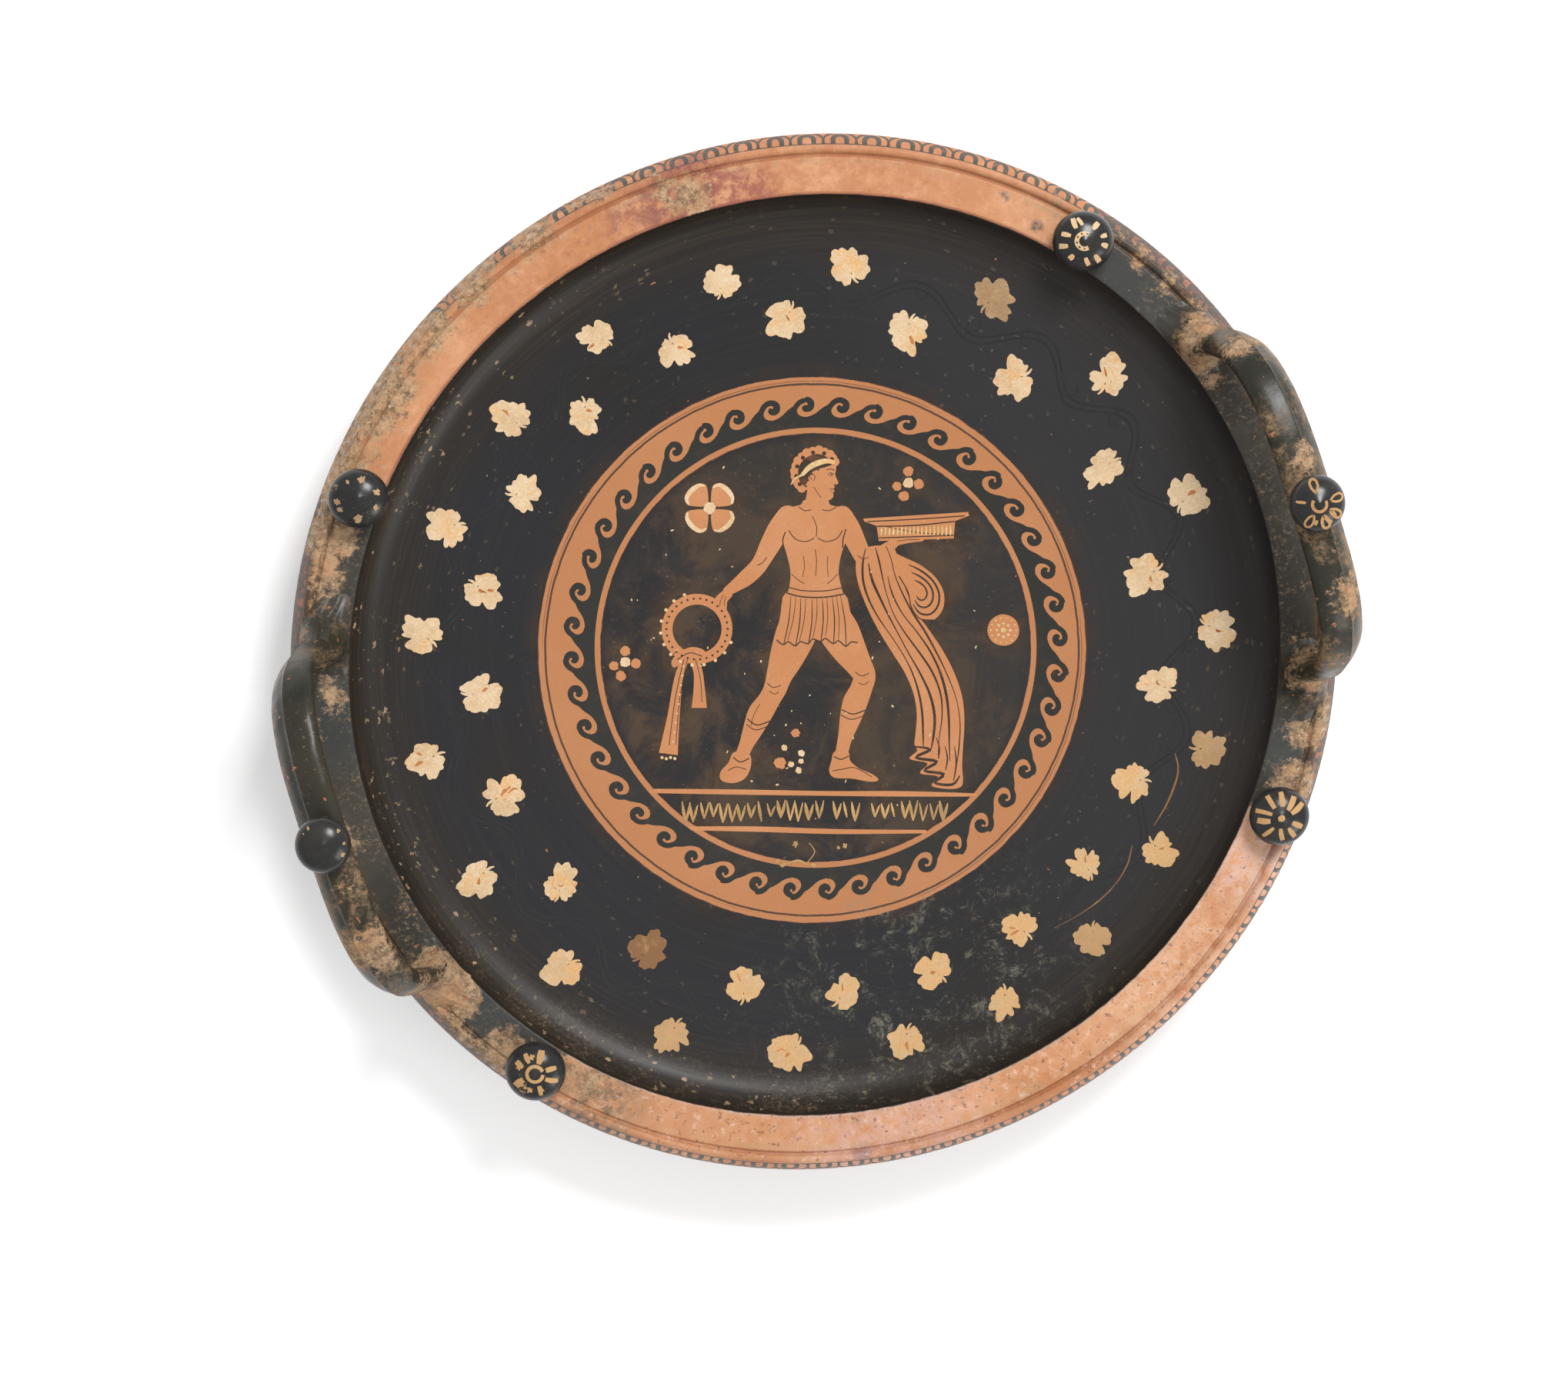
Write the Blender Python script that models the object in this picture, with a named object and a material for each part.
"""A red-figure patera: a shallow clay dish on a ring foot, with two arched handles and six mushroom knobs.

Metres, +Z up. The origin is the centre of the foot's resting plane, and the handles stand along X.
"""

import bpy
import bmesh
from math import cos, hypot, pi, radians, sin, sqrt, tau
from mathutils import Vector

# Bowl, all radii in plan
rim_radius = 0.2250  # to the outer side of the ridge
ridge_width = 0.0036
ridge_height = 0.0016
groove_width = 0.0018
groove_depth = 0.0009
band_width = 0.0165  # the flat band between the groove and the bowl's inside
lip_round = 0.0012
fascia_flare = 0.0050  # how far the patterned outer face leans out
fascia_height = 0.0120
wall_width = 0.0170  # the steep wall, in plan
wall_drop = 0.0150
floor_dip = 0.0150  # the floor sinks by this from the wall to the middle
wall_thickness = 0.0085

# Foot
foot_radius = 0.0790
foot_clearance = 0.0210  # from the resting plane up to the underside inside the foot
foot_width = 0.0150
foot_flare = 0.0060
foot_rest_width = 0.0070
foot_bead = 0.0022

# The dish warped in the kiln: its rim is a slight oval
rim_oval = 0.0036
oval_angle = radians(20)
true_radius = 0.1210  # inside this the dish stayed round

# Knobs, the same mushroom in two sizes
rim_knobs = (  # side, angle from the handle's axis, and how far outside the band's middle
    (1, radians(38.7), 0.0019),
    (1, radians(-37.6), 0.0047),
    (-1, radians(-38.6), 0.0014),
    (-1, radians(36.8), 0.0043),
)
rim_knob_cap = 0.0262
rim_knob_lift = 0.0085  # from the band up to the cap's edge
handle_knob_cap = 0.0240
handle_knob_lift = 0.0075
knob_dome = 0.0078  # from the cap's edge up to its top
knob_tip = 0.0007  # a slight point in the middle
knob_edge = 0.0022
knob_underside = 0.0024
stem_share = 0.52  # of the cap's width
knob_root = 0.0030

# Handles
handle_span = 0.1500  # between the middles of a handle's two roots
handle_height = 0.0655  # from the band up to the ridge line of the strap
handle_lean = 0.0175  # outwards at the top
handle_squareness = 3.2
strap_width = 0.0204
strap_thickness = 0.0100
strap_ridge_share = 0.60  # the ridge line's place across the strap, from its inner edge
root_shift = 0.0042  # the roots stand outside the band's middle and cover the ridge
root_flare_width = 0.0040
root_flare_thickness = 0.0105
root_flare_height = 0.0210
root_depth = 0.0040

# Facets
turned_steps = 72
knob_steps = 16
handle_steps = 30

# What follows from them
band_outer_radius = rim_radius - ridge_width - groove_width
inner_radius = band_outer_radius - band_width
floor_radius = inner_radius - wall_width
floor_top = foot_clearance + wall_thickness
rim_height = floor_top + floor_dip + wall_drop
band_middle = inner_radius + band_width / 2


def warped(point):
    """Moves a point of the round dish to its place on the oval one."""
    radius = hypot(point.x, point.y)
    if radius <= true_radius:
        return point
    share = min(1.0, (radius - true_radius) / (inner_radius - true_radius))
    smooth = share * share * (3 - 2 * share)
    angle = 2 * (Vector((1, 0)).angle_signed(Vector((point.x, point.y)), 0) + oval_angle)
    grown = 1 + rim_oval * smooth * cos(angle) / radius
    return Vector((point.x * grown, point.y * grown, point.z))


def arc(centre, radius, start, end, count):
    """Points of a circle's arc in the plane of a profile; angles in degrees, 0 pointing outwards."""
    turns = [radians(start + (end - start) * i / (count - 1)) for i in range(count)]
    return [(centre[0] + radius * cos(a), centre[1] + radius * sin(a)) for a in turns]


def curve(start, control, end, count):
    """Points of a quadratic curve, without its first."""
    points = []
    for i in range(1, count + 1):
        t = i / count
        weights = ((1 - t) ** 2, 2 * t * (1 - t), t * t)
        corners = (start, control, end)
        points.append(tuple(sum(w * c[k] for w, c in zip(weights, corners)) for k in (0, 1)))
    return points


def inside_profile(floor_count=7, wall_count=6):
    """The dish's inside from its middle to the start of the lip's rounding."""
    points = []
    for i in range(floor_count + 1):
        radius = floor_radius * i / floor_count
        points.append((radius, floor_top + floor_dip * (radius / floor_radius) ** 2))
    wall_foot = points[-1]
    slope = 2 * floor_dip / floor_radius
    corner_radius = inner_radius - 0.18 * wall_width
    corner = (corner_radius, wall_foot[1] + slope * (corner_radius - floor_radius))
    top = (inner_radius, rim_height - lip_round)
    return points + curve(wall_foot, corner, top, wall_count)


def offset_profile(points, thickness):
    """The outside that lies a wall's thickness below an inside profile."""
    moved = []
    for i, point in enumerate(points):
        before = points[max(0, i - 1)]
        after = points[min(len(points) - 1, i + 1)]
        along = Vector((after[0] - before[0], after[1] - before[1])).normalized()
        moved.append((point[0] + along.y * thickness, point[1] - along.x * thickness))
    return moved


def rim_profile():
    """The rim from the lip's rounding over the band, groove and ridge and down the patterned face."""
    lip = arc((inner_radius + lip_round, rim_height - lip_round), lip_round, 150, 90, 3)
    groove = [
        (band_outer_radius, rim_height),
        (band_outer_radius + groove_width / 2, rim_height - groove_depth),
    ]
    ridge_middle = rim_radius - ridge_width / 2
    ridge = []
    for i in range(5):
        turn = pi * i / 4
        ridge.append((ridge_middle - ridge_width / 2 * cos(turn), rim_height + ridge_height * sin(turn)))
    foot_of_face = (rim_radius + fascia_flare, rim_height - fascia_height)
    face = [(rim_radius + 0.55 * fascia_flare, rim_height - 0.45 * fascia_height), foot_of_face]
    under = [(foot_of_face[0] - 0.0015, foot_of_face[1] - 0.0012)]
    return lip + groove + ridge + face + under


def foot_profile(outside):
    """The ring foot from where it leaves the dish's underside round to the space inside it."""
    neck_radius = foot_radius - foot_flare
    inner_base = foot_radius - foot_width
    top = height_on(outside, neck_radius)
    bead = arc((foot_radius - foot_bead, foot_bead), foot_bead, 60, -60, 4)
    rest_outer = foot_radius - foot_bead
    recess = (inner_base - foot_flare, foot_clearance)
    return (
        [(neck_radius, top), (neck_radius, (top + 2 * foot_bead) / 2)]
        + bead
        + [(rest_outer, 0.0), (rest_outer - foot_rest_width, 0.0)]
        + [(inner_base - 0.3 * foot_flare, 0.45 * foot_clearance), recess]
    )


def height_on(profile, radius):
    """The height of a profile where it crosses a radius."""
    for near, far in zip(profile, profile[1:]):
        if near[0] <= radius <= far[0]:
            share = (radius - near[0]) / (far[0] - near[0])
            return near[1] + share * (far[1] - near[1])
    raise ValueError("the foot is wider than the dish")


def bowl_profile():
    """The whole closed section, from the middle of the floor out over the rim and back under the foot."""
    inside = inside_profile()
    outside = offset_profile(inside, wall_thickness)
    under = [p for p in outside[:-2] if p[0] > foot_radius + wall_thickness and p[0] < band_middle]
    return inside + rim_profile() + list(reversed(under)) + foot_profile(outside) + [(0.0, foot_clearance)]


def turned(name, profile, steps):
    """A closed body spun round Z from a profile that starts and ends on the axis."""
    shape = bmesh.new()
    corners = [shape.verts.new((radius, 0, height)) for radius, height in profile]
    edges = [shape.edges.new(pair) for pair in zip(corners, corners[1:])]
    bmesh.ops.spin(
        shape, geom=corners + edges, cent=(0, 0, 0), axis=(0, 0, 1), angle=tau, steps=steps, use_merge=True
    )
    bmesh.ops.remove_doubles(shape, verts=shape.verts, dist=0.00001)
    return finished(name, shape)


def knob_profile(cap, lift):
    """A low dome with a slight tip over a short stem that starts inside what carries it."""
    half = cap / 2
    stem = half * stem_share
    brim = lift + knob_underside
    dome = []
    for i in range(1, 6):
        turn = radians(15 * i)
        dome.append((half * sin(turn), brim + knob_dome * cos(turn)))
    return [(0.0, brim + knob_dome + knob_tip)] + dome + [
        (half, brim - 0.10 * knob_edge),
        (0.93 * half, brim - 0.45 * knob_edge),
        (stem + 0.30 * (half - stem), brim - 0.80 * knob_underside),
        (stem, lift - 0.30 * knob_underside),
        (0.94 * stem, 0.35 * lift),
        (1.12 * stem, 0.0),
        (1.12 * stem, -knob_root),
        (0.0, -knob_root),
    ]


def strap_section(width, thickness):
    """The strap across: a rounded inner edge and face, a ridge line, an outer bevel and a flat underside."""
    ridge = width * (strap_ridge_share - 0.5)
    return [
        (-0.50 * width, -0.12 * thickness),
        (-0.44 * width, 0.18 * thickness),
        (-0.26 * width, 0.36 * thickness),
        (ridge, 0.50 * thickness),
        ((ridge + width / 2) / 2, 0.26 * thickness),
        (0.50 * width, -0.16 * thickness),
        (0.40 * width, -0.46 * thickness),
        (0.0, -0.50 * thickness),
        (-0.38 * width, -0.42 * thickness),
    ]


def handle_path(turn):
    """The strap's middle line at an angle from one root (0) over the top (90 degrees) to the other."""
    rise = handle_height - strap_thickness / 2 + root_depth
    power = 2 / handle_squareness
    across = abs(cos(turn)) ** power * (1 if turn < pi / 2 else -1) * handle_span / 2
    up = abs(sin(turn)) ** power * rise
    chord = sqrt((band_middle + root_shift) ** 2 - (handle_span / 2) ** 2)
    return Vector((chord + handle_lean * up / rise, across, rim_height - root_depth + up))


def handle_mesh(name, side):
    """One arched strap with thickened roots; side is 1 for +X and -1 for -X."""
    shape = bmesh.new()
    outwards = Vector((handle_height, 0, -handle_lean)).normalized()
    rings = []
    for i in range(handle_steps + 1):
        turn = pi * i / handle_steps
        middle = handle_path(turn)
        step = 0.01
        along = (handle_path(min(pi, turn + step)) - handle_path(max(0.0, turn - step))).normalized()
        away = outwards.cross(along).normalized()
        above = middle.z - rim_height
        flare = max(0.0, 1 - max(0.0, above) / root_flare_height) ** 2
        width = strap_width + root_flare_width * flare
        thickness = strap_thickness + root_flare_thickness * flare
        corners = [middle + outwards * a - away * b for a, b in strap_section(width, thickness)]
        turned_round = [Vector((side * c.x, side * c.y, c.z)) for c in corners]
        rings.append([shape.verts.new(c) for c in turned_round])
    for near, far in zip(rings, rings[1:]):
        for i in range(len(near)):
            j = (i + 1) % len(near)
            shape.faces.new((near[i], near[j], far[j], far[i]))
    shape.faces.new(reversed(rings[0]))
    shape.faces.new(rings[-1])
    return finished(name, shape)


def finished(name, shape):
    """Makes an object of a body, in triangles and facing out."""
    bmesh.ops.triangulate(shape, faces=shape.faces)
    bmesh.ops.recalc_face_normals(shape, faces=shape.faces)
    mesh = bpy.data.meshes.new(name)
    shape.to_mesh(mesh)
    shape.free()
    thing = bpy.data.objects.new(name, mesh)
    bpy.context.collection.objects.link(thing)
    return thing


def warp(thing):
    """Warps an object's own points where they stand."""
    for vertex in thing.data.vertices:
        vertex.co = warped(vertex.co)


def knob(name, cap, lift, place):
    """A knob with its points already at their place in the world."""
    thing = turned(name, knob_profile(cap, lift), knob_steps)
    for vertex in thing.data.vertices:
        vertex.co += place
    return thing


def join(bowl, piece):
    """Adds a hidden piece to the bowl as one clay."""
    piece.hide_render = True
    piece.display_type = "WIRE"
    union = bowl.modifiers.new("Join " + piece.name, "BOOLEAN")
    union.operation = "UNION"
    union.solver = "EXACT"
    union.object = piece


def clay():
    """Fired clay under black gloss."""
    material = bpy.data.materials.new("Black gloss clay")
    material.use_nodes = True
    surface = material.node_tree.nodes["Principled BSDF"]
    surface.inputs["Base Color"].default_value = (0.045, 0.042, 0.045, 1)
    surface.inputs["Roughness"].default_value = 0.38
    surface.inputs["Metallic"].default_value = 0.0
    return material


def build():
    """Makes the patera: one fired piece of dish, foot, handles and knobs."""
    for old in list(bpy.data.objects):
        bpy.data.objects.remove(old, do_unlink=True)
    bowl = turned("patera", bowl_profile(), turned_steps)
    pieces = []
    for side, where in ((1, "right"), (-1, "left")):
        pieces.append(handle_mesh("handle_" + where, side))
        top = handle_path(pi / 2)
        place = Vector((side * top.x, 0, top.z + 0.4 * strap_thickness))
        pieces.append(knob("knob_on_handle_" + where, handle_knob_cap, handle_knob_lift, place))
    for side, turn, shift in rim_knobs:
        reach = side * (band_middle + shift)
        spot = Vector((reach * cos(turn), reach * sin(turn), rim_height))
        pieces.append(knob("knob_on_rim", rim_knob_cap, rim_knob_lift, spot))
    for thing in [bowl] + pieces:
        warp(thing)
    for piece in pieces:
        join(bowl, piece)
    bowl.data.materials.append(clay())
    bowl.data.shade_smooth()
    bowl.data.set_sharp_from_angle(angle=radians(40))


build()
